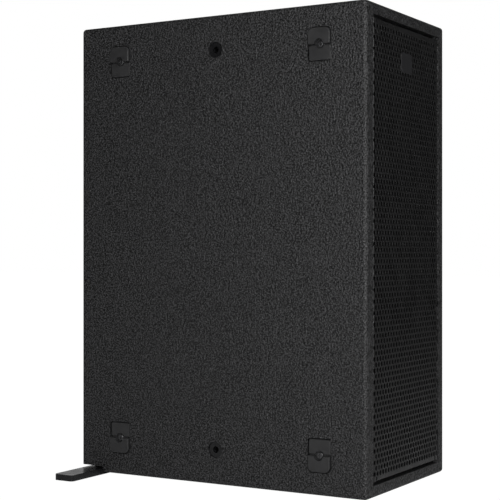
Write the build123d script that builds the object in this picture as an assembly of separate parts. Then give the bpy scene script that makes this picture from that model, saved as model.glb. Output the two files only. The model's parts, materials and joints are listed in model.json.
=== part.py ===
from build123d import *
import os
from math import cos, radians, sin

# Compact two-way line array speaker: a painted plywood box with two 8 inch woofers, a
# high-frequency horn between them, a perforated steel grille, interlocking stacking feet and
# threaded rigging points on both wide sides, and two flat steel link arms that swing out of a
# channel under the rear edge.
#
# Millimetres. +X runs across the narrow width, -Y is the front (the grille), +Z is up.
# Everything is drawn from the underside of the box (z = 0) and lifted onto its feet when it is
# saved, so that the finished part stands on z = 0, with the origin under its middle.

os.makedirs("parts", exist_ok=True)

# ---- driving dimensions -------------------------------------------------------------------
CAB_W = 240.0            # box, across
CAB_D = 428.0            # box, front to back
CAB_H = 600.0            # box, up
FOOT_LIFT = 2.5          # underside of the box above the floor
EDGE_R = 5.0             # rounding of every outer edge of the box

SIDE_T = 18.0            # plywood thicknesses
END_T = 15.0
BACK_T = 12.0
BAFFLE_T = 18.0
BRACE_T = 12.0

BAFFLE_RECESS = 28.0     # front edge of the box to the face of the baffle
WOOFER_PITCH = 364.0     # centre to centre
WOOFER_R = 100.0         # outer radius of the woofer's flange

GRILLE_SET_BACK = 0.5    # the grille lies almost flush with the front of the box
GRILLE_GAP = 2.2         # between the grille and the side panels
GRILLE_END_GAP = 4.2     # between the grille and the top or bottom panel
GRILLE_T = 1.5
SLIT_X = 91.4            # relief slits beside the corners, from the middle
SLIT_W = 3.0
SLIT_LENGTH = 6.0
PERFORATION_PITCH = 8.04 # centre to centre; the rows are staggered by half of it
PERFORATION_R = 3.0
FOAM_T = 5.0
BADGE_W = 33.0
BADGE_H = 25.0
BADGE_T = 0.5
BADGE_X = -2.5
BADGE_POST_R = 2.2
BADGE_ROW = 34           # the badge's posts go through this row of holes, from the middle row

PAD_Y = 150.0            # stacking feet, from the middle of the side
PAD_FROM_END = 49.0
PAD_W = 30.0
PAD_L = 40.0
PAD_DEPTH = 6.0          # pocket depth
PAD_GAP = 1.3            # open joint all round the foot
PAD_STEP = 2.5           # the outer half stands out this much
PAD_SINK = 1.0           # the inner half is sunk this much
PAD_GROOVE = 2.2         # width of the groove between the halves

RIG_FROM_END = 44.5      # rigging inserts, from the end of the box
RIG_HOLE_R = 4.25        # core hole of an M10 thread
RIG_FLANGE_R = 10.0
RIG_FLANGE_T = 1.5
RIG_SINK = 2.0           # the flange lies this deep in the side

ARM_W = 30.0             # flat steel link arm
ARM_T = 8.0
ARM_LENGTH = 90.0        # pivot to tip
ARM_CLEARANCE = 3.0      # thickness of the pivot washer
PIVOT_X = 96.0
PIVOT_BOLT_R = 5.0
PIVOT_PLAY = 0.08

# ---- dimensions that follow ---------------------------------------------------------------
HALF_W = CAB_W / 2
HALF_D = CAB_D / 2
INNER_W = HALF_W - SIDE_T                      # half the inside width
BAFFLE_Y = -HALF_D + BAFFLE_RECESS             # front face of the baffle
BAFFLE_BACK = BAFFLE_Y + BAFFLE_T
BACK_Y = HALF_D - BACK_T                       # inner face of the back panel
MID_Z = CAB_H / 2
GRILLE_Y = -HALF_D + GRILLE_SET_BACK           # front face of the grille
ARM_Z = -FOOT_LIFT                             # underside of the arms
ARM_TOP = ARM_Z + ARM_T
CHANNEL_TOP = ARM_TOP + ARM_CLEARANCE
CHANNEL_Y = 178.0                              # front wall of the channel
PIVOT_Y = CHANNEL_Y + 0.5 + ARM_W / 2
WOOFER_Z = {"lower": MID_Z - WOOFER_PITCH / 2, "upper": MID_Z + WOOFER_PITCH / 2}
BRACE_Z = (MID_Z - 78.0, MID_Z + 66.0)         # underside of each window brace
PORT_SPOTS = [(sx * 85.0, MID_Z + sz * 92.0) for sx in (-1, 1) for sz in (-1, 1)]
PERFORATION_ROW = PERFORATION_PITCH * sin(radians(60))
GRILLE_POST_SPOTS = [(sx * 84.0, MID_Z + sz * 266.0) for sx in (-1, 1) for sz in (-1, 1)]
PAD_SPOTS = [
    (side, sy * PAD_Y, MID_Z + sz * (MID_Z - PAD_FROM_END), sz)
    for side in (-1, 1)
    for sy in (-1, 1)
    for sz in (-1, 1)
]
RIG_SPOTS = [
    (side, MID_Z + sz * (MID_Z - RIG_FROM_END)) for side in (-1, 1) for sz in (-1, 1)
]
CUT = 1.0                                      # how far a cutter runs past a face


# ---- helpers ------------------------------------------------------------------------------
def block(x0, x1, y0, y1, z0, z1):
    """A box between two corners."""
    centre = Pos((x0 + x1) / 2, (y0 + y1) / 2, (z0 + z1) / 2)
    return centre * Box(x1 - x0, y1 - y0, z1 - z0)


def cyl(r, z0, z1):
    """A cylinder on the local Z axis from z0 to z1."""
    low, high = min(z0, z1), max(z0, z1)
    base = (Align.CENTER, Align.CENTER, Align.MIN)
    return Pos(0, 0, low) * Cylinder(r, high - low, align=base)


def tube(r_out, r_in, z0, z1):
    low, high = min(z0, z1), max(z0, z1)
    return cyl(r_out, low, high) - cyl(r_in, low - CUT, high + CUT)


def turned(points):
    """A solid of revolution about Z from a closed outline of (radius, z) points."""
    outline = Polyline(*[(r, 0, z) for r, z in points], close=True)
    return revolve(make_face(outline), Axis.Z)


def dome(rim_r, rim_z, height, thickness):
    """A thin spherical cap that bulges up from its rim."""
    ball_r = (rim_r**2 + height**2) / (2 * height)
    shell = Sphere(ball_r) - Sphere(ball_r - thickness)
    above = Pos(0, 0, ball_r - height) * cyl(2 * rim_r, 0, 2 * height)
    return Pos(0, 0, rim_z + height - ball_r) * (shell & above)


def slab(sketch, z0, z1):
    """A sketch on the local XY plane as a plate from z0 to z1."""
    return extrude(Pos(0, 0, z0) * sketch, z1 - z0)


def facing_front(x, z, y=BAFFLE_Y):
    """Where local +Z points out of the front and local +Y points up."""
    return Pos(x, y, z) * Rot(90, 0, 0)


def facing_back(x, z, y):
    """Where local +Z points out of the back and local +Y points up."""
    return Location(Plane(origin=(x, y, z), x_dir=(-1, 0, 0), z_dir=(0, 1, 0)))


def on_side(side, y, z, up=1):
    """On a side panel: local +Z points out of it, and local +Y points up, or down if up is -1."""
    face = Plane(origin=(side * HALF_W, y, z), x_dir=(0, up * side, 0), z_dir=(side, 0, 0))
    return Location(face)


def screw(head_r, head_h, shank_r, length, recess="cross"):
    """A screw with its seat at z = 0 and its head above it."""
    head = cyl(head_r, 0, head_h)
    head = fillet(head.edges().group_by(Axis.Z)[-1], head_h * 0.4)
    if recess == "cross":
        drive = Box(head_r * 1.1, head_r * 0.28, head_h) + Box(head_r * 0.28, head_r * 1.1, head_h)
        head -= Pos(0, 0, head_h) * drive
    else:
        drive = RegularPolygon(head_r * 0.5, 6)
        head -= slab(drive, head_h * 0.35, head_h + CUT)
    return head + cyl(shank_r, -length, 0)


def save(name, *solids):
    """Writes one node, lifted onto the feet."""
    lifted = [Pos(0, 0, FOOT_LIFT) * s for s in solids]
    shape = lifted[0] if len(lifted) == 1 else Compound(children=lifted)
    shape.label = name
    export_step(shape, f"parts/{name}.step")


# ---- the box ------------------------------------------------------------------------------
def envelope():
    """The outside of the box, every edge rounded."""
    whole = block(-HALF_W, HALF_W, -HALF_D, HALF_D, 0, CAB_H)
    return fillet(whole.edges(), EDGE_R)


def arm_channel():
    """The channel under the rear edge, open at both sides, at the back and below."""
    cutter = block(
        -HALF_W - CUT, HALF_W + CUT, CHANNEL_Y, HALF_D + CUT, -CUT, CHANNEL_TOP
    )
    corner = cutter.edges().filter_by(Axis.X).group_by(Axis.Z)[-1].sort_by(Axis.Y)[0]
    return fillet(corner, 2.4)


def pad_outline(grow):
    """Outline of a stacking foot, round at its outer end and nearly square at its inner end."""
    plate = Rectangle(PAD_W + 2 * grow, PAD_L + 2 * grow)
    plate = fillet(plate.vertices().group_by(Axis.Y)[-1], 7.0 + grow)
    return fillet(plate.vertices().group_by(Axis.Y)[0], 2.5 + grow)


def side_panel(side):
    x0, x1 = sorted((side * INNER_W, side * HALF_W))
    panel = block(x0, x1, -HALF_D, HALF_D, 0, CAB_H) & envelope()
    panel -= arm_channel()
    for s, y, z, up in PAD_SPOTS:
        if s == side:
            pocket = slab(pad_outline(PAD_GAP), -PAD_DEPTH, CUT) + cyl(2.2, -SIDE_T + 2, 0)
            panel -= on_side(side, y, z, up) * pocket
    for s, z in RIG_SPOTS:
        if s == side:
            bore = cyl(7.0, -SIDE_T - CUT, CUT)
            bore += cyl(RIG_FLANGE_R + 0.4, -RIG_SINK - RIG_FLANGE_T, CUT)
            panel -= on_side(side, 0, z) * bore
    return panel


def end_panel(z0, z1):
    return block(-INNER_W, INNER_W, -HALF_D, HALF_D, z0, z1) & envelope()


def bottom_panel():
    panel = end_panel(0, END_T) - arm_channel()
    for sx in (-1, 1):
        panel -= Pos(sx * PIVOT_X, PIVOT_Y, 0) * cyl(PIVOT_BOLT_R + 0.3, 0, END_T + CUT)
    return panel


CONNECTOR_Z = 150.0
DISH_W, DISH_H, DISH_DEPTH = 124.0, 84.0, 7.0
DISH_Y = HALF_D - DISH_DEPTH
CONNECTOR_X = 28.0
PLATE_SCREWS = [(sx * 56.5, sz * 36.5) for sx in (-1, 1) for sz in (-1, 1)]
BOARD_W, BOARD_H, BOARD_T, STANDOFF = 140.0, 112.0, 1.6, 8.0


def back_panel():
    panel = block(-INNER_W, INNER_W, BACK_Y, HALF_D, END_T, CAB_H - END_T)
    dish = slab(RectangleRounded(DISH_W + 1, DISH_H + 1, 6.5), -DISH_DEPTH, CUT)
    dish += slab(RectangleRounded(104, 64, 4), -BACK_T - CUT, 0)
    for x, z in PLATE_SCREWS:
        dish += Pos(x, z, 0) * cyl(1.8, -BACK_T - CUT, 0)
    return panel - facing_back(0, CONNECTOR_Z, HALF_D) * dish


GASKET_T = 1.5
FLANGE_T = 6.0
WOOFER_HOLE_R = 91.5
WOOFER_SCREW_R = 96.5
WOOFER_SCREWS = [
    (WOOFER_SCREW_R * cos(radians(a)), WOOFER_SCREW_R * sin(radians(a)))
    for a in (45, 135, 225, 315)
]
HORN_W, HORN_H, HORN_FLANGE_T = 200.0, 146.0, 5.0
HORN_SCREWS = [(x, z) for x in (-94.0, 0.0, 94.0) for z in (-66.5, 66.5)]
PORT_R = 13.0
PEG_R = 1.7              # pegs of the grille's posts


def front_baffle():
    board = block(-INNER_W, INNER_W, BAFFLE_Y, BAFFLE_BACK, END_T, CAB_H - END_T)
    for z in WOOFER_Z.values():
        seat = cyl(WOOFER_R + 0.4, -FLANGE_T - GASKET_T, CUT)
        seat += cyl(WOOFER_HOLE_R, -BAFFLE_T - CUT, 0)
        for x, y in WOOFER_SCREWS:
            seat += Pos(x, y, 0) * cyl(1.9, -BAFFLE_T - CUT, 0)
        board -= facing_front(0, z) * seat
    seat = slab(Rectangle(HORN_W + 0.8, HORN_H + 0.8), -HORN_FLANGE_T, CUT)
    seat += slab(Rectangle(190, 130), -BAFFLE_T - CUT, 0)
    for x, y in HORN_SCREWS:
        seat += Pos(x, y, 0) * cyl(1.9, -BAFFLE_T - CUT, 0)
    board -= facing_front(0, MID_Z) * seat
    for x, z in PORT_SPOTS:
        board -= facing_front(x, z) * cyl(PORT_R, -BAFFLE_T - CUT, CUT)
    for x, z in GRILLE_POST_SPOTS:
        board -= facing_front(x, z) * cyl(PEG_R, -BAFFLE_T - CUT, CUT)
    return board


def window_brace(z):
    brace = block(-INNER_W, INNER_W, BAFFLE_BACK, BACK_Y, z, z + BRACE_T)
    window = slab(RectangleRounded(144, 190, 20), z - CUT, z + BRACE_T + CUT)
    return brace - Pos(0, 75, 0) * window


LINING_T = 20.0
LINING_BAYS = [(30.0, 216.0), (MID_Z - 62.0, MID_Z + 62.0), (384.0, 570.0)]


def lining_pads():
    return [
        block(*sorted((s * INNER_W, s * (INNER_W - LINING_T))), -60, 190, z0, z1)
        for s in (-1, 1)
        for z0, z1 in LINING_BAYS
    ]


# ---- grille -------------------------------------------------------------------------------
GRILLE_W = INNER_W - GRILLE_GAP                # half width
GRILLE_Z = (END_T + GRILLE_END_GAP, CAB_H - END_T - GRILLE_END_GAP)
GRILLE_BACK = GRILLE_Y + GRILLE_T              # inner side of the sheet
FOAM_BACK = GRILLE_BACK + FOAM_T
BADGE_POSTS = [
    (k * PERFORATION_PITCH, MID_Z + BADGE_ROW * PERFORATION_ROW) for k in (-1.5, 0.5)
]
MAGNET_H = 3.0


def grille_tray():
    """A folded steel tray: the face, and four edges folded back to the baffle."""
    z0, z1 = GRILLE_Z
    tray = block(-GRILLE_W, GRILLE_W, GRILLE_Y, BAFFLE_Y, z0, z1)
    tray = fillet(tray.faces().sort_by(Axis.Y)[0].edges(), 1.4)
    tray -= block(
        GRILLE_T - GRILLE_W, GRILLE_W - GRILLE_T, GRILLE_BACK, BAFFLE_Y + CUT,
        z0 + GRILLE_T, z1 - GRILLE_T,
    )
    slit, wing = SLIT_X - SLIT_W / 2, GRILLE_W - GRILLE_T
    for sx in (-1, 1):
        for low, high, bend in (
            (z0 - CUT, z0 + SLIT_LENGTH, z0 + GRILLE_T), (z1 - SLIT_LENGTH, z1 + CUT, z1 - GRILLE_T),
        ):
            x0, x1 = sorted((sx * slit, sx * (slit + SLIT_W)))
            tray -= block(x0, x1, GRILLE_Y - CUT, BAFFLE_Y + CUT, low, high)
            x0, x1 = sorted((sx * slit, sx * wing))
            ends = sorted((bend, low if low < z0 else high))
            tray -= block(x0, x1, GRILLE_BACK, BAFFLE_Y + CUT, *ends)
    for x, z in BADGE_POSTS:
        tray -= facing_front(x, z, GRILLE_Y) * cyl(PERFORATION_R, -GRILLE_T - CUT, CUT)
    return tray


def grille_foam():
    z0, z1 = GRILLE_Z
    sheet = block(2 - GRILLE_W, GRILLE_W - 2, GRILLE_BACK, FOAM_BACK, z0 + 2, z1 - 2)
    for x, z in GRILLE_POST_SPOTS:
        sheet -= facing_front(x, z, GRILLE_BACK) * cyl(6.0, -FOAM_T - CUT, CUT)
    return sheet


def grille_badge():
    """A plain blank plate, held by two posts through the grille's holes."""
    plate = slab(RectangleRounded(BADGE_W, BADGE_H, 4), 0, BADGE_T)
    plate = chamfer(plate.edges().group_by(Axis.Z)[-1], 0.2)
    field = RectangleRounded(BADGE_W - 5, BADGE_H - 5, 2.5)
    plate -= slab(field, BADGE_T / 2, BADGE_T + CUT)
    badge = facing_front(BADGE_X, BADGE_POSTS[0][1], GRILLE_Y) * plate
    for x, z in BADGE_POSTS:
        badge += facing_front(x, z, GRILLE_Y) * cyl(BADGE_POST_R, -GRILLE_T, BADGE_T / 2)
    return badge


def grille_posts():
    """Four posts on the baffle, each with a magnet on its end that holds the steel grille."""
    height = BAFFLE_Y - GRILLE_BACK - MAGNET_H
    post = cyl(5.0, 0, height) + cyl(PEG_R, -12, 0)
    return [facing_front(x, z) * post for x, z in GRILLE_POST_SPOTS]


def grille_magnets():
    return [facing_front(x, z, GRILLE_BACK) * cyl(4.8, -MAGNET_H, 0) for x, z in GRILLE_POST_SPOTS]


# ---- woofers: local +Z points out of the front, z = 0 is the face of the flange ------------
BASKET_BACK = -70.0
TOP_PLATE_T = 8.0
MAGNET_T = 20.0
BACK_PLATE_T = 8.0
COIL_R = 25.4
TRAVEL = 5.0


def woofer_basket():
    """Cast frame: flange, slanted wall with six windows, spider shelf, back ring, terminal tab."""
    frame = turned([
        (86, -2), (93, -2), (93, 0), (WOOFER_R, 0), (WOOFER_R, -FLANGE_T), (90, -FLANGE_T),
        (90, -18), (62, -60), (62, BASKET_BACK), (30, BASKET_BACK), (30, -66),
        (58, -66), (58, -58.5), (86, -16.5),
    ])
    for i in range(6):
        frame -= Rot(0, 0, 60 * i + 30) * block(55, 115, -26, 26, -46, -20)
    frame += turned([(60, -48), (67, -48), (64, -51.5), (60, -51.5)])
    frame += block(-30, 30, 58, 72, BASKET_BACK, -62)
    for x, y in WOOFER_SCREWS:
        frame -= Pos(x, y, 0) * cyl(2.2, -FLANGE_T - CUT, CUT)
    return frame


def woofer_gasket():
    ring = tube(WOOFER_R, WOOFER_HOLE_R, -FLANGE_T - GASKET_T, -FLANGE_T)
    for x, y in WOOFER_SCREWS:
        ring -= Pos(x, y, 0) * cyl(2.2, -FLANGE_T - GASKET_T - CUT, 0)
    return ring


def woofer_surround():
    """Half-roll edge between the cone and the flange."""
    edge = [
        Line((92.5, 0, -2.0), (92.5, 0, -1.2)),
        Line((92.5, 0, -1.2), (85.3, 0, -1.2)),
        ThreePointArc((85.3, 0, -1.2), (79.0, 0, 5.1), (72.7, 0, -1.2)),
        Line((72.7, 0, -1.2), (69.0, 0, -1.2)),
        Line((69.0, 0, -1.2), (69.0, 0, -2.0)),
        Line((69.0, 0, -2.0), (73.5, 0, -2.0)),
        ThreePointArc((73.5, 0, -2.0), (79.0, 0, 4.3), (84.5, 0, -2.0)),
        Line((84.5, 0, -2.0), (92.5, 0, -2.0)),
    ]
    return revolve(make_face(Curve() + edge), Axis.Z)


def woofer_cone():
    return turned([
        (25.6, -42), (26.6, -42), (68, -3), (73, -3), (73, -2), (67.2, -2), (25.6, -40.5),
    ])


def woofer_dust_cap():
    return dome(29.5, -36.6, 9.4, 0.8)


def woofer_voice_coil():
    """Former with its winding."""
    return tube(COIL_R + 0.1, COIL_R - 0.4, -80, -39) + tube(COIL_R + 0.9, COIL_R, -80, -68)


def woofer_spider():
    """Corrugated disc that centres the coil."""
    crests = [(28.0 + 4 * i, -47.2 + 1.6 * (i % 2)) for i in range(9)]
    top = [(r, z + 0.6) for r, z in crests]
    lip = [(64.0, -48.0), (64.0, -47.2)]
    return turned([(25.9, -47.2), *crests, (61.5, -48.0), *lip, (61.8, -47.2), *top[::-1], (25.9, -46.6)])


def woofer_magnet():
    low = BASKET_BACK - TOP_PLATE_T
    return tube(60, 31, low - MAGNET_T, low)


def woofer_motor_plates():
    """The top plate, and the back plate with its vented pole."""
    low = BASKET_BACK - TOP_PLATE_T
    bottom = low - MAGNET_T
    top_plate = tube(55, COIL_R + 1.5, low, BASKET_BACK)
    back_plate = cyl(55, bottom - BACK_PLATE_T, bottom) + cyl(COIL_R - 1.0, bottom, BASKET_BACK)
    back_plate -= cyl(8, bottom - BACK_PLATE_T - CUT, BASKET_BACK + CUT)
    return top_plate, back_plate


def woofer(name, z, turn):
    """All the pieces of one woofer. turn is 180 on the upper one: its terminals face the middle."""
    spot = facing_front(0, z) * Rot(0, 0, turn)
    save(f"woofer_{name}_basket", spot * woofer_basket())
    save(f"woofer_{name}_surround", spot * woofer_surround())
    save(f"woofer_{name}_cone", spot * woofer_cone())
    save(f"woofer_{name}_dust_cap", spot * woofer_dust_cap())
    save(f"woofer_{name}_voice_coil", spot * woofer_voice_coil())
    save(f"woofer_{name}_spider", spot * woofer_spider())
    save(f"woofer_{name}_magnet", spot * woofer_magnet())
    save(f"woofer_{name}_motor_plates", *[spot * p for p in woofer_motor_plates()])


# ---- high frequencies: the same local axes, z = 0 is the face of the horn's flange ---------
SLOT_W, SLOT_H = 180.0, 22.0
FLARE = [(0, 120.0), (-20, 66.0), (-45, SLOT_H)]       # depth and height of the flare
GUIDE = (-49.0, -119.0)                                # the wave guide behind the slot
THROAT_R = 12.7
DRIVER_FRONT = -125.0


def lofted(sections):
    return loft([Pos(0, 0, z) * Rectangle(w, h) for w, h, z in sections])


def hf_horn():
    """Flange and flare, moulded in one, with a flange behind it for the wave guide."""
    outer = lofted([(SLOT_W + 6, h + 6, z) for z, h in FLARE])
    outer += slab(Rectangle(HORN_W, HORN_H), -HORN_FLANGE_T, 0)
    outer += slab(Rectangle(SLOT_W + 14, 48), GUIDE[0], FLARE[-1][0])
    horn = outer - lofted([(SLOT_W, h, z) for z, h in FLARE])
    horn -= slab(Rectangle(SLOT_W, SLOT_H), GUIDE[0] - CUT, FLARE[-1][0])
    for x, y in HORN_SCREWS:
        horn -= Pos(x, y, 0) * cyl(2.2, -HORN_FLANGE_T - CUT, CUT)
    return horn


DRIVER_BOLTS = [(38.0, 0.0), (-38.0, 0.0), (0.0, 38.0), (0.0, -38.0)]


def hf_waveguide():
    """Turns the round throat of the driver into the horn's long slot."""
    front, back = GUIDE
    body = lofted([(SLOT_W + 10, SLOT_H + 14, front), (56, 56, back)])
    body += cyl(46, DRIVER_FRONT, back)
    body -= lofted([(SLOT_W, SLOT_H, front), (22, 22, back)])
    body -= cyl(THROAT_R, DRIVER_FRONT - CUT, back)
    for x, y in DRIVER_BOLTS:
        body -= Pos(x, y, 0) * cyl(3.2, DRIVER_FRONT - CUT, back + CUT)
    return body


def hf_motor_plates():
    """Front plate with the pole, and the rear plate round the coil gap."""
    front = cyl(46, DRIVER_FRONT - 8, DRIVER_FRONT) + cyl(22, -158, DRIVER_FRONT - 8)
    front -= cyl(THROAT_R, -160, DRIVER_FRONT + CUT)
    for x, y in DRIVER_BOLTS:
        front -= Pos(x, y, 0) * cyl(3.0, DRIVER_FRONT - 8 - CUT, DRIVER_FRONT + CUT)
    return front, tube(45, 23.4, -159, -151)


def hf_magnet():
    return tube(50, 30, -151, -133)


def hf_phase_plug():
    plug = cyl(THROAT_R, -157, -141)
    for ring_r, count in ((4.5, 6), (9.5, 12)):
        for i in range(count):
            plug -= Rot(0, 0, 360 * i / count) * Pos(ring_r, 0, 0) * cyl(1.5, -158, -140)
    return plug


def hf_diaphragm():
    """Dome and its flat rim."""
    cap = Pos(0, 0, -159.5) * Rot(180, 0, 0) * dome(22.0, 0, 8.5, 0.6)
    return cap + tube(34, 21.2, -160, -159)


def hf_rear_cover():
    cover = cyl(44, -181, -159)
    cover = fillet(cover.edges().group_by(Axis.Z)[0], 4)
    cover -= cyl(41, -178, -158)
    return cover + block(-9, 9, -6, 6, -185, -181)


def hf_screws():
    """Six screws hold the horn, four bolts hold the driver."""
    small = screw(3.4, 2.2, 1.8, 17)
    large = screw(4.6, 4.0, 2.9, 13, "hex")
    spot = facing_front(0, MID_Z)
    held = [spot * Pos(x, y, 0) * small for x, y in HORN_SCREWS]
    return held + [spot * Pos(x, y, GUIDE[1]) * large for x, y in DRIVER_BOLTS]


# ---- crossover, connectors and leads -------------------------------------------------------
BOARD_Y = BACK_Y - STANDOFF - BOARD_T          # the side of the board that carries components
STANDOFF_SPOTS = [(sx * 62.0, MID_Z + sz * 48.0) for sx in (-1, 1) for sz in (-1, 1)]


def crossover_board():
    z0, z1 = MID_Z - BOARD_H / 2, MID_Z + BOARD_H / 2
    return block(-BOARD_W / 2, BOARD_W / 2, BOARD_Y, BOARD_Y + BOARD_T, z0, z1)


def crossover_inductors():
    """Two wound coils on plain bobbins."""
    bobbin = tube(19, 6, 0, 2) + tube(17, 6, 2, 18) + tube(19, 6, 18, 20)
    return [facing_front(-46, MID_Z + z, BOARD_Y) * bobbin for z in (-26, 26)]


def crossover_capacitors():
    can = fillet(cyl(9, 0, 30).edges().group_by(Axis.Z)[-1], 1.5)
    return [facing_front(52, MID_Z + z, BOARD_Y) * can for z in (-26, 0, 26)]


def crossover_resistors():
    return [
        block(-8, 32, BOARD_Y - 9, BOARD_Y, MID_Z + z, MID_Z + z + 8) for z in (-18, 40)
    ]


def crossover_standoffs():
    return [facing_front(x, z, BACK_Y) * tube(4, 1.6, 0, STANDOFF) for x, z in STANDOFF_SPOTS]


def connector_gasket():
    ring = slab(RectangleRounded(DISH_W, DISH_H, 6), 0, 1) - slab(
        RectangleRounded(104, 64, 4), -CUT, 2
    )
    for x, z in PLATE_SCREWS:
        ring -= Pos(x, z, 0) * cyl(2.0, -CUT, 2)
    return facing_back(0, CONNECTOR_Z, DISH_Y) * ring


def connector_plate():
    plate = slab(RectangleRounded(DISH_W, DISH_H, 6), 1, 3)
    for x, z in PLATE_SCREWS:
        plate -= Pos(x, z, 0) * cyl(2.0, 0, 4)
    for sx in (-1, 1):
        plate -= Pos(sx * CONNECTOR_X, 0, 0) * cyl(12.4, 0, 4)
    return facing_back(0, CONNECTOR_Z, DISH_Y) * plate


def speaker_connector():
    """Panel socket: square flange, round barrel, keyed round recess."""
    body = slab(RectangleRounded(32, 32, 4), 3, 5) + cyl(12, -22, 3)
    body += tube(13.5, 10, 5, 6.2)
    body -= cyl(9.5, -13, 7)
    for a in (90, 210, 330):
        body -= Rot(0, 0, a) * block(8, 10.8, -2, 2, -12, 7)
    return body


def speaker_connectors():
    spots = [facing_back(sx * CONNECTOR_X, CONNECTOR_Z, DISH_Y) for sx in (-1, 1)]
    return [spot * speaker_connector() for spot in spots]


def connector_screws():
    bolt = screw(3.2, 1.8, 1.6, 10)
    spot = facing_back(0, CONNECTOR_Z, DISH_Y + 3)
    return [spot * Pos(x, z, 0) * bolt for x, z in PLATE_SCREWS]


LEAD_R = 2.5
TAB_Y = BAFFLE_Y + 66.0                        # middle of the woofers' terminal tabs
LEAD_BEND = 12.0


def lead(points):
    """A sheathed pair of wires along straight runs joined by arcs."""
    route = FilletPolyline(*points, radius=LEAD_BEND)
    section = Plane(origin=route @ 0, z_dir=route % 0) * Circle(LEAD_R)
    return sweep(section, route)


def internal_leads():
    low_tab = WOOFER_Z["lower"] + 72.0
    high_tab = WOOFER_Z["upper"] - 72.0
    driver_back = BAFFLE_Y + 185.0
    socket_back = DISH_Y - 22.0
    return [
        lead([
            (16, TAB_Y, low_tab), (16, TAB_Y, low_tab + 17), (16, 24, low_tab + 17),
            (16, 24, MID_Z - 32), (16, BOARD_Y, MID_Z - 32),
        ]),
        lead([
            (-16, TAB_Y, high_tab), (-16, TAB_Y, high_tab - 17), (-16, 40, high_tab - 17),
            (-16, 40, MID_Z + 32), (-16, BOARD_Y, MID_Z + 32),
        ]),
        lead([
            (0, driver_back, MID_Z), (0, driver_back + 40, MID_Z), (0, driver_back + 80, MID_Z + 20),
            (0, BOARD_Y, MID_Z + 20),
        ]),
        lead([
            (CONNECTOR_X, socket_back, CONNECTOR_Z), (CONNECTOR_X, 150, CONNECTOR_Z),
            (CONNECTOR_X, 150, MID_Z - 44), (CONNECTOR_X, BOARD_Y, MID_Z - 44),
        ]),
    ]


def port_tubes():
    return [facing_front(x, z) * tube(PORT_R, PORT_R - 2, -80, 0) for x, z in PORT_SPOTS]


# ---- stacking feet, rigging points, base feet ----------------------------------------------
SCREW_SEAT = -3.7        # how deep the head of a foot's screw sits


def stacking_foot():
    """One half stands out and the other is sunk, so that two stacked boxes key together."""
    halves = [
        slab(pad_outline(0) & Pos(0, way * PAD_L / 2) * Rectangle(PAD_W, PAD_L), -PAD_DEPTH, top)
        for way, top in ((1, PAD_STEP), (-1, -PAD_SINK))
    ]
    plate = Part() + [fillet(half.edges().group_by(Axis.Z)[-1], 0.9) for half in halves]
    plate -= block(-PAD_W, PAD_W, -PAD_GROOVE, 0, SCREW_SEAT, 0)
    plate -= cyl(6.3, SCREW_SEAT, PAD_STEP + CUT)
    return plate - cyl(2.4, -PAD_DEPTH - CUT, 0)


def stacking_feet():
    foot = stacking_foot()
    return [on_side(side, y, z, up) * foot for side, y, z, up in PAD_SPOTS]


def foot_screws():
    bolt = screw(4.3, 2.6, 2.0, 11)
    return [on_side(s, y, z, up) * Pos(0, 0, SCREW_SEAT) * bolt for s, y, z, up in PAD_SPOTS]


def rigging_inserts():
    """Flanged steel inserts with a thread for M10."""
    under = -RIG_SINK - RIG_FLANGE_T
    insert = cyl(RIG_FLANGE_R, under, -RIG_SINK) + cyl(7.0, -SIDE_T, under)
    insert -= cyl(RIG_HOLE_R, -SIDE_T - CUT, CUT)
    return [on_side(side, 0, z) * insert for side, z in RIG_SPOTS]


def base_feet():
    disc = fillet(cyl(10, -FOOT_LIFT, 0).edges().group_by(Axis.Z)[0], 0.8)
    return [Pos(sx * 80.0, -182.0, 0) * disc for sx in (-1, 1)]


# ---- link arms -----------------------------------------------------------------------------
ARM_RECESS = 4.2         # the bolt's head is sunk this deep into the underside


def link_arm():
    """Flat bar along +X from its pivot at the origin, underside at z = 0."""
    bar = Pos(ARM_LENGTH / 2, 0) * Rectangle(ARM_LENGTH, ARM_W)
    bar = fillet(bar.vertices().group_by(Axis.X)[-1], 5.0)
    arm = slab(bar + Circle(ARM_W / 2), 0, ARM_T)
    arm = chamfer(arm.edges().group_by(Axis.Z)[-1], 0.4)
    arm -= cyl(PIVOT_BOLT_R + PIVOT_PLAY, -CUT, ARM_T + CUT)
    return arm - cyl(8.8, -CUT, ARM_RECESS)


def pivot_bolt():
    """Seat at z = 0, head below it, shank up through the washer, the panel and the plate."""
    length = END_T + 8.0 - ARM_Z - ARM_RECESS
    return Rot(180, 0, 0) * screw(8.2, ARM_RECESS - 0.6, PIVOT_BOLT_R, length, "hex")


def at_pivot(side, z):
    turn = 180 if side < 0 else 0
    return Pos(side * PIVOT_X, PIVOT_Y, z) * Rot(0, 0, turn)


def pivot_plate(side):
    """Tapped steel plate inside the box."""
    x0, x1 = sorted((side * (INNER_W - 0.5), side * 56.0))
    plate = block(x0, x1, 160, BACK_Y - 0.5, END_T, END_T + 8)
    return plate - Pos(side * PIVOT_X, PIVOT_Y, 0) * cyl(PIVOT_BOLT_R, END_T - CUT, END_T + 9)


# ---- write every node ----------------------------------------------------------------------
save("side_panel_left", side_panel(-1))
save("side_panel_right", side_panel(1))
save("top_panel", end_panel(CAB_H - END_T, CAB_H))
save("bottom_panel", bottom_panel())
save("back_panel", back_panel())
save("front_baffle", front_baffle())
save("window_braces", *[window_brace(z) for z in BRACE_Z])
save("lining_pads", *lining_pads())

save("grille_tray", grille_tray())
save("grille_foam", grille_foam())
save("grille_badge", grille_badge())
save("grille_posts", *grille_posts())
save("grille_magnets", *grille_magnets())

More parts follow.
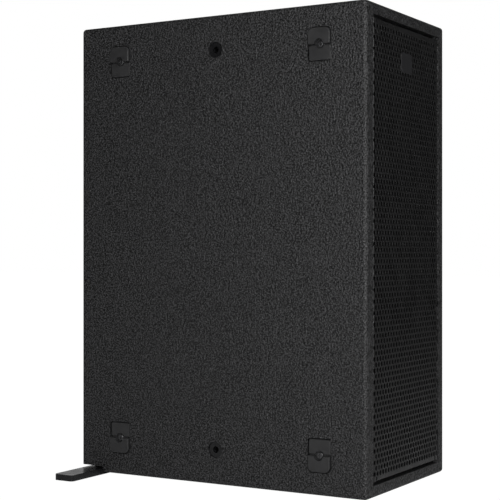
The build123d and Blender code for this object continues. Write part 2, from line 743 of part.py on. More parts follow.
woofer("lower", WOOFER_Z["lower"], 0)
woofer("upper", WOOFER_Z["upper"], 180)
save("woofer_gaskets", *[facing_front(0, z) * woofer_gasket() for z in WOOFER_Z.values()])
save("woofer_screws", *[
    facing_front(0, z) * Pos(x, y, 0) * screw(3.4, 2.0, 1.8, 22)
    for z in WOOFER_Z.values()
    for x, y in WOOFER_SCREWS
])
save("port_tubes", *port_tubes())

save("hf_horn", facing_front(0, MID_Z) * hf_horn())
save("hf_waveguide", facing_front(0, MID_Z) * hf_waveguide())
save("hf_motor_plates", *[facing_front(0, MID_Z) * p for p in hf_motor_plates()])
save("hf_magnet", facing_front(0, MID_Z) * hf_magnet())
save("hf_phase_plug", facing_front(0, MID_Z) * hf_phase_plug())
save("hf_diaphragm", facing_front(0, MID_Z) * hf_diaphragm())
save("hf_rear_cover", facing_front(0, MID_Z) * hf_rear_cover())
save("hf_screws", *hf_screws())

save("crossover_board", crossover_board())
save("crossover_inductors", *crossover_inductors())
save("crossover_capacitors", *crossover_capacitors())
save("crossover_resistors", *crossover_resistors())
save("crossover_standoffs", *crossover_standoffs())
save("connector_gasket", connector_gasket())
save("connector_plate", connector_plate())
save("speaker_connectors", *speaker_connectors())
save("connector_screws", *connector_screws())
save("internal_leads", *internal_leads())

save("stacking_feet", *stacking_feet())
save("foot_screws", *foot_screws())
save("rigging_inserts", *rigging_inserts())
save("base_feet", *base_feet())

save("link_arm_left", at_pivot(-1, ARM_Z) * link_arm())
save("link_arm_right", at_pivot(1, ARM_Z) * link_arm())
save("pivot_bolts", *[at_pivot(s, ARM_Z + ARM_RECESS) * pivot_bolt() for s in (-1, 1)])
save("pivot_washers", *[
    at_pivot(s, 0) * tube(13, PIVOT_BOLT_R + 0.3, ARM_TOP, CHANNEL_TOP) for s in (-1, 1)
])
save("pivot_plates", *[pivot_plate(s) for s in (-1, 1)])
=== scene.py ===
import json
import math

import bmesh
import bpy
from mathutils import Matrix, Vector, noise


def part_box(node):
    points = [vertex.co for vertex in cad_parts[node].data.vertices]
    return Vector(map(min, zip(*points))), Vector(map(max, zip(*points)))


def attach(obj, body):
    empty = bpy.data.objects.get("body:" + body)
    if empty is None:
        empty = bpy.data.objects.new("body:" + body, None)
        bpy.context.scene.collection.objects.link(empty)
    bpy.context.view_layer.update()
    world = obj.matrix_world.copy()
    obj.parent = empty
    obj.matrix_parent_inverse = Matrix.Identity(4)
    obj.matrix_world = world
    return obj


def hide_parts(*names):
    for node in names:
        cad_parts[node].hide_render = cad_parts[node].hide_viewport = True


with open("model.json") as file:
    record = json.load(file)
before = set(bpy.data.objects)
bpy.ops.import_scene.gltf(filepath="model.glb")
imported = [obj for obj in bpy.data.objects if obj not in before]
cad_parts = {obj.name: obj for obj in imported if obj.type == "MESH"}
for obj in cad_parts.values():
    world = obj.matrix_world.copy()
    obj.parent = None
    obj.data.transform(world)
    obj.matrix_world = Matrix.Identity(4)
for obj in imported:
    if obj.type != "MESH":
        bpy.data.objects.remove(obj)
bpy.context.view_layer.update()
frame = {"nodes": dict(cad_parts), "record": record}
NODES = frame["nodes"]
SLOT_OF = {row["node"]: row["material_slot"] for row in frame["record"]["subparts"]}
MM = 0.001


# ---- materials ------------------------------------------------------------------------------
class Look:
    """One procedural material: a Principled shader and the texture nodes that feed it.
    Sizes are in metres, on the object's own coordinates, so that a grain is as large as it says."""

    def __init__(self, name, colour, rough, metal=0.0, **fixed):
        self.mat = bpy.data.materials.new(name)
        self.mat.use_nodes = True
        self.nodes, self.links = self.mat.node_tree.nodes, self.mat.node_tree.links
        self.shader = self.nodes["Principled BSDF"]
        self.set("Base Color", (*colour, 1.0))
        self.set("Roughness", rough)
        self.set("Metallic", metal)
        for socket, value in fixed.items():
            self.set(socket.replace("_", " "), value)
        self.where = self.nodes.new("ShaderNodeTexCoord").outputs["Object"]
        self.last_normal = None

    def set(self, socket, value):
        """Sets a number or colour on the shader's own socket."""
        self.shader.inputs[socket].default_value = value

    def put(self, node_type, *inputs, **settings):
        """Adds a node. Each input is a socket to link or a value to set, in order; None is skipped."""
        node = self.nodes.new(node_type)
        for key, value in settings.items():
            setattr(node, key, value)
        for socket, value in zip(node.inputs, inputs):
            if isinstance(value, bpy.types.NodeSocket):
                self.links.new(value, socket)
            elif value is not None:
                socket.default_value = value
        return node.outputs[0]

    def stretched(self, stretch):
        """The object's coordinates, scaled along each axis, for grain that runs one way."""
        return self.put("ShaderNodeMapping", self.where, None, None, stretch)

    def noise(self, size, detail=3.0, rough=0.55, stretch=None):
        """Soft random patches of about that size."""
        spot = self.stretched(stretch) if stretch else self.where
        node = self.nodes.new("ShaderNodeTexNoise")
        self.links.new(spot, node.inputs["Vector"])
        node.inputs["Scale"].default_value = 1 / size
        node.inputs["Detail"].default_value = detail
        node.inputs["Roughness"].default_value = rough
        return node.outputs["Fac"]

    def cells(self, size, feature="F1"):
        """Cells of about that size: the distance from each one's middle, or from its edge."""
        node = self.nodes.new("ShaderNodeTexVoronoi")
        node.feature = feature
        self.links.new(self.where, node.inputs["Vector"])
        node.inputs["Scale"].default_value = 1 / size
        return node.outputs["Distance"]

    def bands(self, size, axis, distort=0.0):
        """Even bands of that width, one after another along an axis."""
        node = self.nodes.new("ShaderNodeTexWave")
        node.wave_type = "BANDS"
        node.bands_direction = axis
        self.links.new(self.where, node.inputs["Vector"])
        node.inputs["Scale"].default_value = math.pi / 10 / size
        node.inputs["Distortion"].default_value = distort
        return node.outputs["Fac"]

    def math(self, operation, a, b):
        """One arithmetic step on two sockets or numbers."""
        return self.put("ShaderNodeMath", a, b, operation=operation)

    def ramp(self, value, low, high, start=0.35, end=0.65):
        """Fades from low to high, numbers or colours, as value goes from start to end."""
        node = self.nodes.new("ShaderNodeValToRGB")
        self.links.new(value, node.inputs["Fac"])
        for stop, place, shade in zip(node.color_ramp.elements, (start, end), (low, high)):
            stop.position = place
            stop.color = (*((shade,) * 3 if isinstance(shade, (int, float)) else shade), 1.0)
        return node.outputs["Color"]

    def mix(self, share, a, b):
        """Colour a where share is 0, colour b where it is 1."""
        node = self.nodes.new("ShaderNodeMix")
        node.data_type = "RGBA"
        slots = [s for s in node.inputs if s.type == "RGBA"]
        self.links.new(share, node.inputs[0])
        for socket, value in zip(slots, (a, b)):
            if isinstance(value, bpy.types.NodeSocket):
                self.links.new(value, socket)
            else:
                socket.default_value = (*value, 1.0)
        return [s for s in node.outputs if s.type == "RGBA"][0]

    def feed(self, socket, value):
        """Links a texture's output to one of the shader's sockets."""
        self.links.new(value, self.shader.inputs[socket])
        return self

    def bump(self, height, depth, strength=1.0):
        """Relief of that depth in metres, added to any bump already there."""
        node = self.nodes.new("ShaderNodeBump")
        node.inputs["Strength"].default_value = strength
        node.inputs["Distance"].default_value = depth
        self.links.new(height, node.inputs["Height"])
        if self.last_normal:
            self.links.new(self.last_normal, node.inputs["Normal"])
        self.last_normal = node.outputs["Normal"]
        self.feed("Normal", self.last_normal)
        return self


SATIN_SPREAD = 0.08        # how far a satin surface's roughness goes either way


def cabinet_paint():
    """Hard black coating, sprayed on as small blobs that catch the light one by one. Its colour is lighter
    on the tops of the fine grains and darker between them: painted glints and painted shade.
    """
    look = Look("cabinet_paint", (0.022, 0.022, 0.023), 0.5, Specular_IOR_Level=0.5)
    blobs = look.noise(2.6 * MM, 1.0, 0.5)
    fine = look.noise(1.9 * MM, 1.5, 0.6)
    look.bump(blobs, 1.6 * MM, 1.0)
    look.bump(fine, 0.5 * MM, 0.9)
    look.feed("Roughness", look.ramp(blobs, 0.62, 0.34, 0.42, 0.60))
    # painted glints and shade: the colour is lighter where the fine grain stands up and darker where it
    # dips
    look.feed("Base Color", look.ramp(fine, (0.001, 0.001, 0.001), (0.058, 0.058, 0.060), 0.42, 0.60))
    return look


def satin(name, colour, rough, grain, depth, metal=0.0):
    """A moulded or coated surface with an even fine grain and slight patches of shine."""
    look = Look(name, colour, rough, metal)
    look.bump(look.noise(grain, 2.0), depth, 0.7)
    patches = look.noise(30 * MM, 3.0)
    look.feed("Roughness", look.ramp(patches, rough - SATIN_SPREAD, rough + SATIN_SPREAD))
    darker = tuple(c * 0.8 for c in colour)
    look.feed("Base Color", look.ramp(look.noise(9 * MM, 4.0), darker, colour))
    return look


def brushed(name, colour, rough, axis):
    """Bare metal, turned or brushed along one axis."""
    look = Look(name, colour, rough, 1.0)
    stretch = tuple(0.06 if a == axis else 1.0 for a in "XYZ")
    lines = look.noise(0.5 * MM, 3.0, 0.6, stretch)
    look.bump(lines, 0.03 * MM, 0.5)
    look.feed("Roughness", look.ramp(lines, rough - 0.1, rough + 0.12))
    dull = tuple(c * 0.7 for c in colour)
    look.feed("Base Color", look.ramp(look.noise(12 * MM, 4.0), dull, colour))
    return look


def plywood():
    """Bare plywood, with its plies and the grain of its face."""
    look = Look("plywood", (0.6, 0.45, 0.28), 0.6)
    plies = look.bands(1.4 * MM, "Z", distort=0.3)
    grain = look.noise(2.5 * MM, 5.0, 0.6, (1.0, 0.08, 1.0))
    wood = look.ramp(grain, (0.45, 0.31, 0.17), (0.70, 0.54, 0.34))
    look.feed("Base Color", look.mix(look.math("MULTIPLY", plies, 0.35), wood, (0.36, 0.23, 0.12)))
    look.bump(grain, 0.1 * MM, 0.5)
    return look


def winding(name, colour, wire, axis):
    """Enamelled wire wound side by side along an axis, with painted shade between the turns."""
    look = Look(name, colour, 0.3, 0.9)
    turns = look.bands(wire, axis, distort=0.2)
    look.bump(turns, wire / 2, 0.9)
    # painted shade: the colour darkens in the grooves between the turns
    look.feed("Base Color", look.ramp(turns, tuple(c * 0.45 for c in colour), colour, 0.2, 0.7))
    return look


def cloth(name, colour, pitch):
    """A plain weave, with painted shade between the threads."""
    look = Look(name, colour, 0.9, Sheen_Weight=0.25)
    warp, weft = look.bands(pitch, "X"), look.bands(pitch, "Z")
    weave = look.math("MULTIPLY", warp, weft)
    look.bump(weave, pitch / 2, 0.8)
    # painted shade: the colour darkens where the weave dips between the threads
    look.feed("Base Color", look.ramp(weave, tuple(c * 0.5 for c in colour), colour, 0.1, 0.6))
    return look


def open_foam():
    """Reticulated foam: pores with thin struts between them, with painted shade in the pores that leaves
    the struts lighter.
    """
    look = Look("foam", (0.003, 0.003, 0.003), 0.95, Specular_IOR_Level=0.05)
    pores = look.cells(1.2 * MM)
    look.bump(pores, 0.6 * MM, 1.0)
    # painted shade: the colour is darkest in the middle of each pore and lighter towards the struts
    look.feed("Base Color", look.ramp(pores, (0.0005, 0.0005, 0.0005), (0.004, 0.004, 0.004), 0.2, 0.6))
    return look


def wadding():
    """Off-white polyester fibre, matted and lumpy."""
    look = Look("lining", (0.5, 0.5, 0.48), 0.95, Sheen_Weight=0.4)
    fibres = look.noise(1.2 * MM, 6.0, 0.7, (1.0, 0.25, 1.0))
    lumps = look.noise(18 * MM, 3.0)
    look.bump(fibres, 1.2 * MM, 0.8)
    look.feed("Base Color", look.mix(lumps, look.ramp(fibres, 0.30, 0.62), (0.42, 0.42, 0.40)))
    return look


def paper():
    """Pressed paper pulp with short fibres, blackened."""
    look = Look("paper_cone", (0.03, 0.03, 0.03), 0.75)
    fibres = look.noise(1.5 * MM, 6.0, 0.75, (1.0, 1.0, 0.3))
    look.bump(fibres, 0.15 * MM, 0.7)
    look.feed("Base Color", look.ramp(fibres, (0.012, 0.012, 0.012), (0.045, 0.044, 0.043)))
    return look


def laminate():
    """Green circuit board with paler tracks under the lacquer."""
    look = Look("circuit_board", (0.04, 0.2, 0.09), 0.35, Coat_Weight=0.4)
    tracks = look.cells(9 * MM, "DISTANCE_TO_EDGE")
    look.feed("Base Color", look.ramp(tracks, (0.10, 0.34, 0.16), (0.02, 0.14, 0.06), 0.05, 0.09))
    look.bump(tracks, 0.05 * MM, 0.3)
    return look


def cement():
    """The pale, pitted filling of a power resistor."""
    look = Look("cement", (0.7, 0.7, 0.66), 0.85)
    pits = look.noise(0.8 * MM, 4.0)
    look.bump(pits, 0.25 * MM, 0.8)
    look.feed("Base Color", look.ramp(pits, (0.55, 0.55, 0.51), (0.78, 0.78, 0.74)))
    return look


LOOKS = {
    "cabinet_paint": cabinet_paint(),
    "plywood": plywood(),
    "grille_steel": satin("grille_steel", (0.014, 0.014, 0.0145), 0.30, 0.7 * MM, 0.05 * MM),
    "foam": open_foam(),
    "lining": wadding(),
    "moulded_black": satin("moulded_black", (0.040, 0.040, 0.041), 0.42, 0.5 * MM, 0.04 * MM),
    "badge": satin("badge", (0.022, 0.022, 0.024), 0.4, 0.4 * MM, 0.03 * MM),
    "black_steel": satin("black_steel", (0.012, 0.012, 0.013), 0.26, 1.2 * MM, 0.02 * MM),
    "black_screws": satin("black_screws", (0.16, 0.16, 0.165), 0.30, 0.4 * MM, 0.02 * MM, 0.9),
    "zinc_steel": brushed("zinc_steel", (0.55, 0.55, 0.56), 0.35, "X"),
    "cast_basket": satin("cast_basket", (0.05, 0.05, 0.05), 0.55, 0.8 * MM, 0.12 * MM, 0.3),
    "paper_cone": paper(),
    "rubber_edge": satin("rubber_edge", (0.02, 0.02, 0.02), 0.6, 0.6 * MM, 0.05 * MM),
    "spider_cloth": cloth("spider_cloth", (0.62, 0.42, 0.16), 0.6 * MM),
    "ferrite": satin("ferrite", (0.09, 0.09, 0.10), 0.62, 0.6 * MM, 0.08 * MM, 0.2),
    "coil": winding("coil", (0.80, 0.36, 0.16), 0.8 * MM, "Y"),
    "titanium": brushed("titanium", (0.62, 0.62, 0.66), 0.28, "Z"),
    "circuit_board": laminate(),
    "capacitor_film": satin("capacitor_film", (0.62, 0.45, 0.06), 0.25, 1.5 * MM, 0.03 * MM),
    "cement": cement(),
    "gasket": satin("gasket", (0.022, 0.022, 0.022), 0.85, 0.7 * MM, 0.15 * MM),
    "base_rubber": satin("base_rubber", (0.02, 0.02, 0.02), 0.75, 0.8 * MM, 0.1 * MM),
    "lead_sheath": satin("lead_sheath", (0.02, 0.02, 0.02), 0.5, 1.0 * MM, 0.03 * MM),
    "washer_nylon": satin("washer_nylon", (0.022, 0.022, 0.022), 0.45, 0.6 * MM, 0.03 * MM),
}
# The magnets are darker than their slot, so that they don't shine through the grille.
OWN_LOOKS = {"grille_magnets": satin("magnet_plating", (0.01, 0.01, 0.01), 0.5, 0.4 * MM, 0.02 * MM)}
for node_name, cad_object in NODES.items():
    look = OWN_LOOKS.get(node_name, LOOKS[SLOT_OF[node_name]])
    cad_object.data.materials.clear()
    cad_object.data.materials.append(look.mat)


# ---- pieces ---------------------------------------------------------------------------------
class Plate:
    """Collects corner points and faces. Points that fall together are shared."""

    def __init__(self):
        self.points, self.faces, self.known = [], [], {}

    def at(self, x, y, z):
        """The number of the point there, which is added if it is new."""
        key = (round(x, 6), round(y, 6), round(z, 6))
        if key not in self.known:
            self.known[key] = len(self.points)
            self.points.append(key)
        return self.known[key]

    def face(self, *corners):
        """Adds a face. Neighbouring corners that fall together count once."""
        ring = [self.at(*c) for c in corners]
        self.faces.append([i for i, n in zip(ring, ring[1:] + ring[:1]) if i != n])

    def piece(self, name, slot, smooth_angle):
        """Makes the object: faces turned outwards, smooth except where they meet more sharply than that."""
        mesh = bpy.data.meshes.new(name)
        mesh.from_pydata(self.points, [], self.faces)
        mesh.validate()
        tidy = bmesh.new()
        tidy.from_mesh(mesh)
        bmesh.ops.recalc_face_normals(tidy, faces=tidy.faces)
        tidy.to_mesh(mesh)
        tidy.free()
        mesh.materials.append(LOOKS[slot].mat)
        obj = bpy.data.objects.new(name, mesh)
        bpy.context.scene.collection.objects.link(obj)
        mesh.shade_smooth()
        mesh.set_sharp_from_angle(angle=math.radians(smooth_angle))
        return obj


HOLE_PITCH = 8.04 * MM
ROW_PITCH = HOLE_PITCH * math.sqrt(3) / 2
HOLE_R = 3.0 * MM
HOLE_RIM = 0.4 * MM
HOLE_SIDES = 16
CELL_POINTS = 8
FIRST_CUT, LAST_CUT = 2, 14          # the hole's points where the bend cuts it off
ROW_HOLES = 24
LAST_ROW = 39
SHEET_T = 1.5 * MM
BEND_STEPS = 4
SLIT_IN, SLIT_OUT = 89.9 * MM, 92.9 * MM
SMOOTH_ANGLE = 40


def ring_points(cx, cz, radius):
    """The corners of a round hole's edge, from its right side, anticlockwise."""
    turn = 2 * math.pi / HOLE_SIDES
    return [
        (cx + radius * math.cos(i * turn), cz + radius * math.sin(i * turn))
        for i in range(HOLE_SIDES)
    ]


def cell_edge(cx, cz):
    """Eight points round a cell, from its right side, anticlockwise."""
    w, h = HOLE_PITCH / 2, ROW_PITCH / 2
    sides = ((w, 0), (w, h), (0, h), (-w, h), (-w, 0), (-w, -h), (0, -h), (w, -h))
    return [(cx + x, cz + z) for x, z in sides]


def punch(plate, cx, cz, front, back):
    """One hole: the sheet round it on both faces, its rolled front rim and its wall."""
    edge = cell_edge(cx, cz)
    mouth, bore = ring_points(cx, cz, HOLE_R + HOLE_RIM), ring_points(cx, cz, HOLE_R)
    rim_y = front + HOLE_RIM
    for i in range(CELL_POINTS):
        a, b = edge[i], edge[(i + 1) % CELL_POINTS]
        arcs = [(2 * i + k) % HOLE_SIDES for k in (0, 1, 2)]
        outer, inner = [mouth[k] for k in arcs], [bore[k] for k in arcs]
        plate.face(*[(x, front, z) for x, z in (a, b, *outer[::-1])])
        plate.face(*[(x, back, z) for x, z in (b, a, *inner)])
    for k in range(HOLE_SIDES):
        n = (k + 1) % HOLE_SIDES
        (ax, az), (bx, bz), (cx2, cz2), (dx, dz) = mouth[k], mouth[n], bore[n], bore[k]
        plate.face((ax, front, az), (bx, front, bz), (cx2, rim_y, cz2), (dx, rim_y, dz))
        plate.face((dx, rim_y, dz), (cx2, rim_y, cz2), (cx2, back, cz2), (dx, back, dz))


def panel(plate, x0, x1, z0, z1, front, back):
    """A plain stretch of sheet: both faces, without its edges."""
    plate.face((x0, front, z0), (x1, front, z0), (x1, front, z1), (x0, front, z1))
    plate.face((x0, back, z1), (x1, back, z1), (x1, back, z0), (x0, back, z0))


def bend(front, rim):
    """Half-section of a folded edge, as (inward, y): out round the bend, back along it, inside."""
    turn = math.pi / 2 / BEND_STEPS
    outer = [
        (SHEET_T * (1 - math.sin(i * turn)), front + SHEET_T * (1 - math.cos(i * turn)))
        for i in range(BEND_STEPS + 1)
    ]
    return [*outer, (0.0, rim), (SHEET_T, rim), (SHEET_T, front + SHEET_T)]


def fold(plate, section, place, start, end):
    """Sweeps a folded edge's section from start to end. place turns (along, inward, y) to a point."""
    for (u0, y0), (u1, y1) in zip(section, section[1:]):
        plate.face(place(start, u0, y0), place(end, u0, y0), place(end, u1, y1), place(start, u1, y1))


def cap(plate, section, place, along):
    """Closes one end of a folded edge."""
    plate.face(*[place(along, u, y) for u, y in section])


def edge_hole(plate, section, sx, outside, cx, cz, front, back):
    """A hole that the bend runs through: its inner part, and the notch that it leaves in the bend."""
    h, reach = ROW_PITCH / 2, outside - SHEET_T - cx
    mouth_r = HOLE_R + HOLE_RIM
    rim_y = front + HOLE_RIM

    def clipped(radius):
        ring = ring_points(0, 0, radius)
        width = math.sqrt(radius**2 - reach**2)
        ring[FIRST_CUT], ring[LAST_CUT] = (reach, width), (reach, -width)
        return ring

    def spot(point, y):
        return (sx * (cx + point[0]), y, cz + point[1])

    mouth, bore = clipped(mouth_r), clipped(HOLE_R)
    w = HOLE_PITCH / 2
    edge = [None, (reach, h), (0, h), (-w, h), (-w, 0), (-w, -h), (0, -h), (reach, -h)]
    for i in range(1, CELL_POINTS - 1):
        a, b = edge[i], edge[i + 1]
        arcs = (2 * i, 2 * i + 1, 2 * i + 2)
        plate.face(spot(a, front), spot(b, front), *[spot(mouth[k], front) for k in arcs[::-1]])
        plate.face(spot(b, back), spot(a, back), *[spot(bore[k], back) for k in arcs])
    for k in range(FIRST_CUT, LAST_CUT):
        a, b, c, d = mouth[k], mouth[k + 1], bore[k + 1], bore[k]
        plate.face(spot(a, front), spot(b, front), spot(c, rim_y), spot(d, rim_y))
        plate.face(spot(d, rim_y), spot(c, rim_y), spot(c, back), spot(d, back))
    notch = []
    for u, y in section[:BEND_STEPS]:
        dx = outside - u - cx
        if dx < mouth_r:
            notch.append((dx, math.sqrt(mouth_r**2 - dx**2), y))
    floor = []
    for sz in (-1, 1):
        flank = [spot((dx, sz * width), back) for dx, width, _ in notch]
        floor += flank if sz < 0 else flank[::-1]
        rim_end, bore_end = (reach, sz * mouth[FIRST_CUT][1]), (reach, sz * bore[FIRST_CUT][1])
        plate.face(spot(rim_end, front), spot(bore_end, rim_y), spot(bore_end, back), flank[0])
        for (x0, w0, y0), (x1, w1, y1) in zip(notch, notch[1:]):
            plate.face(
                spot((x0, sz * w0), y0), spot((x1, sz * w1), y1),
                spot((x1, sz * w1), back), spot((x0, sz * w0), back),
            )
            plate.face(
                spot((x0, sz * w0), y0), spot((x1, sz * w1), y1),
                spot((x1, sz * h), y1), spot((x0, sz * h), y0),
            )
    plate.face(*floor)
    last_x, last_w, last_y = notch[-1]
    ends = [(last_x, -last_w), (last_x, last_w)]
    plate.face(*[spot(e, last_y) for e in ends], *[spot(e, back) for e in ends[::-1]])
    next_u, next_y = section[len(notch)]
    next_x = outside - next_u - cx
    plate.face(
        spot((last_x, -h), last_y), *[spot(e, last_y) for e in ends], spot((last_x, h), last_y),
        spot((next_x, h), next_y), spot((next_x, -h), next_y),
    )
    rest = section[len(notch):]
    fold(plate, rest, lambda z, u, y: (sx * (outside - u), y, z), cz - h, cz + h)


def end_fold(plate, section, sz, edge, z_in, side, front, back):
    """The plain margin at one end: its bend between two relief slits, and a stub beyond each."""
    def place(x, u, y):
        return (x, y, edge - sz * u)

    panel(plate, -SLIT_IN, SLIT_IN, *sorted((z_in, edge - sz * SHEET_T)), front, back)
    fold(plate, section, place, -SLIT_IN, SLIT_IN)
    for sx in (-1, 1):
        cap(plate, section, place, sx * SLIT_IN)
        x0, x1 = sorted((sx * SLIT_OUT, sx * side))
        panel(plate, x0, x1, *sorted((z_in, edge)), front, back)
        plate.face((x0, front, edge), (x1, front, edge), (x1, back, edge), (x0, back, edge))
        x0, x1 = sorted((sx * SLIT_IN, sx * SLIT_OUT))
        plate.face((x0, front, z_in), (x1, front, z_in), (x1, back, z_in), (x0, back, z_in))
        for x, far in ((sx * SLIT_IN, edge - sz * SHEET_T), (sx * SLIT_OUT, edge)):
            plate.face((x, front, z_in), (x, front, far), (x, back, far), (x, back, z_in))


def grille():
    """The folded tray: perforated face, plain margins, relief slits and four folded edges."""
    low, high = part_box("grille_tray")
    front, back = low.y, low.y + SHEET_T
    mid_z = (low.z + high.z) / 2
    plate, section = Plate(), bend(front, high.y)
    outside = high.x
    side = outside - SHEET_T
    for row in range(-LAST_ROW, LAST_ROW + 1):
        staggered = row % 2
        count = ROW_HOLES - staggered
        cz = mid_z + row * ROW_PITCH
        z0, z1 = cz - ROW_PITCH / 2, cz + ROW_PITCH / 2
        for k in range(count):
            punch(plate, (k - (count - 1) / 2) * HOLE_PITCH, cz, front, back)
        reach = count / 2 * HOLE_PITCH
        for sx in (-1, 1):
            if staggered:
                edge_hole(plate, section, sx, outside, reach + HOLE_PITCH / 2, cz, front, back)
                continue
            panel(plate, *sorted((sx * reach, sx * side)), z0, z1, front, back)
            fold(plate, section, lambda z, u, y: (sx * (outside - u), y, z), z0, z1)
    top = (LAST_ROW + 0.5) * ROW_PITCH
    for sz, edge in ((-1, low.z), (1, high.z)):
        z_in = mid_z + sz * top
        end_fold(plate, section, sz, edge, z_in, side, front, back)
        for sx in (-1, 1):
            def place(z, u, y):
                return (sx * (outside - u), y, z)
            fold(plate, section, place, *sorted((z_in, edge)))
            cap(plate, section, place, edge)
    return plate.piece("grille_sheet", "grille_steel", SMOOTH_ANGLE)


INSET_LIMIT = 0.3                    # the most a face pulls in, as a share of the block
CORNER_REACH = 6                     # how soon the rounding of a rim dies away inwards
RIPPLES = ((55, 0.25), (140, 0.12))  # the skin's unevenness: waves in a metre, and their share
SKIN_SHARE, SKIN_LEVEL = 0.5, 0.4    # how deep the skin lies under the block's own faces
POST_R = 4.8 * MM
FOAM_HOLE_R = 6.0 * MM
FOAM_CUT_DEPTH = 30 * MM
LINING_T = 20 * MM
LINING_BAYS = [(0.0325, 0.2185), (0.2405, 0.3645), (0.3865, 0.5725)]


def pad_mesh(name, slot, low, high, body, crown, cells, soft_corner):
    """A closed soft block on a fine grid: crowned faces, rounded rims and a slightly uneven skin."""
    mesh = bmesh.new()
    counts = [max(2, round((b - a) / cells)) for a, b in zip(low, high)]
    size = [b - a for a, b in zip(low, high)]
    grid = {}

    def corner(i, j, k):
        key = (i, j, k)
        if key not in grid:
            share = [n / c for n, c in zip(key, counts)]
            spot = Vector([a + s * f for a, s, f in zip(low, size, share)])
            pulls = [4 * f * (1 - f) for f in share]
            for axis in range(3):
                others = [pulls[n] for n in range(3) if n != axis]
                inset = crown * (1 - math.sqrt(max(0.0, others[0] * others[1])))
                rounding = soft_corner * (1 - min(1.0, CORNER_REACH * min(others)))
                away = min(size[axis] * INSET_LIMIT, inset + rounding)
                spot[axis] += away * (1 - 2 * share[axis]) * abs(1 - 2 * share[axis])
            ripple = sum(noise.noise(spot * rate) * share for rate, share in RIPPLES)
            centre = Vector([(a + b) / 2 for a, b in zip(low, high)])
            spot -= (spot - centre).normalized() * crown * SKIN_SHARE * (SKIN_LEVEL + ripple)
            grid[key] = mesh.verts.new(spot)
        return grid[key]

    for axis in range(3):
        a, b = [n for n in range(3) if n != axis]
        for end in (0, counts[axis]):
            for i in range(counts[a]):
                for j in range(counts[b]):
                    ring = []
                    for di, dj in ((0, 0), (1, 0), (1, 1), (0, 1)):
                        key = [0, 0, 0]
                        key[axis], key[a], key[b] = end, i + di, j + dj
                        ring.append(corner(*key))
                    mesh.faces.new(ring)
    bmesh.ops.recalc_face_normals(mesh, faces=mesh.faces)
    data = bpy.data.meshes.new(name)
    mesh.to_mesh(data)
    mesh.free()
    data.materials.append(LOOKS[slot].mat)
    data.shade_smooth()
    obj = bpy.data.objects.new(name, data)
    bpy.context.scene.collection.objects.link(obj)
    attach(obj, body)
    return obj


def foam_sheet():
    """The acoustic foam behind the grille, cut round the four posts."""
    low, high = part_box("grille_foam")
    sheet = pad_mesh(
        "grille_foam_sheet", "foam", low, high, "cabinet",
        crown=0.3 * MM, cells=7 * MM, soft_corner=0.6 * MM,
    )
    posts_low, posts_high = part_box("grille_magnets")
    cutter = bmesh.new()
    for x in (posts_low.x + POST_R, posts_high.x - POST_R):
        for z in (posts_low.z + POST_R, posts_high.z - POST_R):
            middle = Matrix.Translation((x, (low.y + high.y) / 2, z))
            bmesh.ops.create_cone(
                cutter, segments=32, radius1=FOAM_HOLE_R, radius2=FOAM_HOLE_R, depth=FOAM_CUT_DEPTH,
                cap_ends=True, matrix=middle @ Matrix.Rotation(math.pi / 2, 4, "X"),
            )
    tool_mesh = bpy.data.meshes.new("foam_cutter")
    cutter.to_mesh(tool_mesh)
    cutter.free()
    tool = bpy.data.objects.new("foam_cutter", tool_mesh)
    bpy.context.scene.collection.objects.link(tool)
    holes = sheet.modifiers.new("post_holes", "BOOLEAN")
    holes.operation, holes.object, holes.solver = "DIFFERENCE", tool, "EXACT"
    settle(sheet)
    bpy.data.objects.remove(tool)
    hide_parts("grille_foam")


def settle(obj):
    """Makes the result of an object's modifiers its own mesh."""
    shown = obj.evaluated_get(bpy.context.evaluated_depsgraph_get())
    mesh = bpy.data.meshes.new_from_object(shown)
    obj.modifiers.clear()
    obj.data = mesh


def wadding_pads():
    """Six fibre pads on the inside of the side panels, one in each bay."""
    low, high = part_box("lining_pads")
    for sx, side in ((-1, "left"), (1, "right")):
        x0, x1 = sorted((sx * high.x, sx * (high.x - LINING_T)))
        for (z0, z1), bay in zip(LINING_BAYS, ("lower", "middle", "upper")):
            pad = pad_mesh(
                f"wadding_{side}_{bay}", "lining", Vector((x0, low.y, z0)), Vector((x1, high.y, z1)),
                "cabinet", crown=3 * MM, cells=8 * MM, soft_corner=3 * MM,
            )
            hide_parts("lining_pads")


grille_sheet = grille()
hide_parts("grille_tray")
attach(grille_sheet, "cabinet")
foam_sheet()
wadding_pads()


# ---- stage ----------------------------------------------------------------------------------
FLOOR_HALF = 12.0
FLOOR_GLOW = 1.03
GLOW_SHARE = 0.98
LENS, SENSOR = 92.8, 36.0
CAMERA_AT = (-1.5139, -0.8770, 0.30226)
CAMERA_TURN = -59.38                 # degrees about the vertical, from looking along +Y


def floor():
    """A pale floor, lit evenly, that goes over into the white backdrop."""
    plate = Plate()
    half = FLOOR_HALF
    plate.face((-half, -half, 0), (half, -half, 0), (half, half, 0), (-half, half, 0))
    obj = bpy.data.objects.new("floor", bpy.data.meshes.new("floor"))
    obj.data.from_pydata(plate.points, [], plate.faces)
    bpy.context.scene.collection.objects.link(obj)
    look = Look("floor", (0.9, 0.9, 0.9), 0.9, Specular_IOR_Level=0.0)
    path = look.nodes.new("ShaderNodeLightPath")
    glow = look.nodes.new("ShaderNodeEmission")
    glow.inputs["Strength"].default_value = FLOOR_GLOW
    blend = look.nodes.new("ShaderNodeMixShader")
    share = look.math("MULTIPLY", path.outputs["Is Camera Ray"], GLOW_SHARE)
    look.links.new(share, blend.inputs[0])
    look.links.new(look.shader.outputs[0], blend.inputs[1])
    look.links.new(glow.outputs[0], blend.inputs[2])
    look.links.new(blend.outputs[0], look.nodes["Material Output"].inputs["Surface"])
    obj.data.materials.append(look.mat)


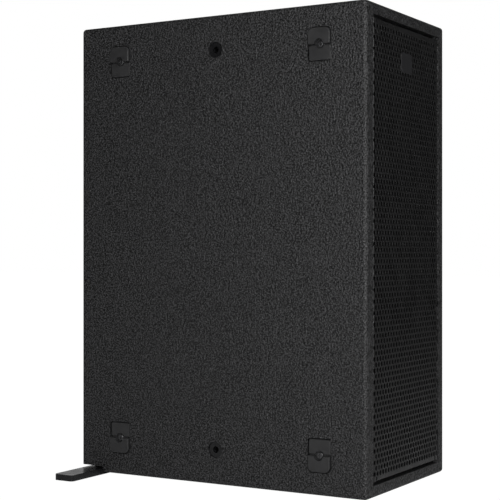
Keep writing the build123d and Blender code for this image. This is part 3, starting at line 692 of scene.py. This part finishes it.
def softbox(name, place, aim, size, power):
    """A soft rectangular lamp that faces a point, with its power in watts."""
    data = bpy.data.lights.new(name, "AREA")
    data.shape, data.size, data.size_y, data.energy = "RECTANGLE", *size, power
    obj = bpy.data.objects.new(name, data)
    obj.location = place
    obj.rotation_euler = (Vector(aim) - Vector(place)).to_track_quat("-Z", "Y").to_euler()
    bpy.context.scene.collection.objects.link(obj)


def surroundings(shown, lit):
    """White to the camera, and dimmer as a light."""
    world = bpy.data.worlds.new("studio")
    world.use_nodes = True
    nodes, links = world.node_tree.nodes, world.node_tree.links
    dim, path, mix = nodes["Background"], nodes.new("ShaderNodeLightPath"), nodes.new("ShaderNodeMixShader")
    bright = nodes.new("ShaderNodeBackground")
    dim.inputs["Color"].default_value = bright.inputs["Color"].default_value = (1, 1, 1, 1)
    dim.inputs["Strength"].default_value, bright.inputs["Strength"].default_value = lit, shown
    links.new(path.outputs["Is Camera Ray"], mix.inputs[0])
    links.new(dim.outputs[0], mix.inputs[1])
    links.new(bright.outputs[0], mix.inputs[2])
    links.new(mix.outputs[0], nodes["World Output"].inputs["Surface"])
    bpy.context.scene.world = world


def camera():
    """Level with the box's middle, on its left and in front of it."""
    data = bpy.data.cameras.new("camera")
    data.lens, data.sensor_width = LENS, SENSOR
    obj = bpy.data.objects.new("camera", data)
    obj.location = CAMERA_AT
    obj.rotation_euler = (math.radians(90), 0, math.radians(CAMERA_TURN))
    bpy.context.scene.collection.objects.link(obj)
    bpy.context.scene.camera = obj


floor()
camera()
surroundings(1.0, 0.04)
softbox("left_box", (-1.7, -0.7, 0.8), (-0.1, -0.1, 0.3), (0.7, 1.6), 12)
softbox("top_box", (-0.3, -0.8, 2.6), (0, 0, 0.3), (1.2, 1.2), 6)
softbox("rim_strip", (-1.5, -1.9, 0.6), (0, -0.2, 0.3), (0.3, 1.6), 20)
softbox("front_strip", (1.2, -2.1, 0.8), (0, 0, 0.3), (0.4, 1.6), 1.5)
softbox("back_box", (1.9, 1.75, 0.6), (0, 0.1, 0.2), (2.4, 1.6), 7)
bpy.context.scene.view_settings.view_transform = "Standard"
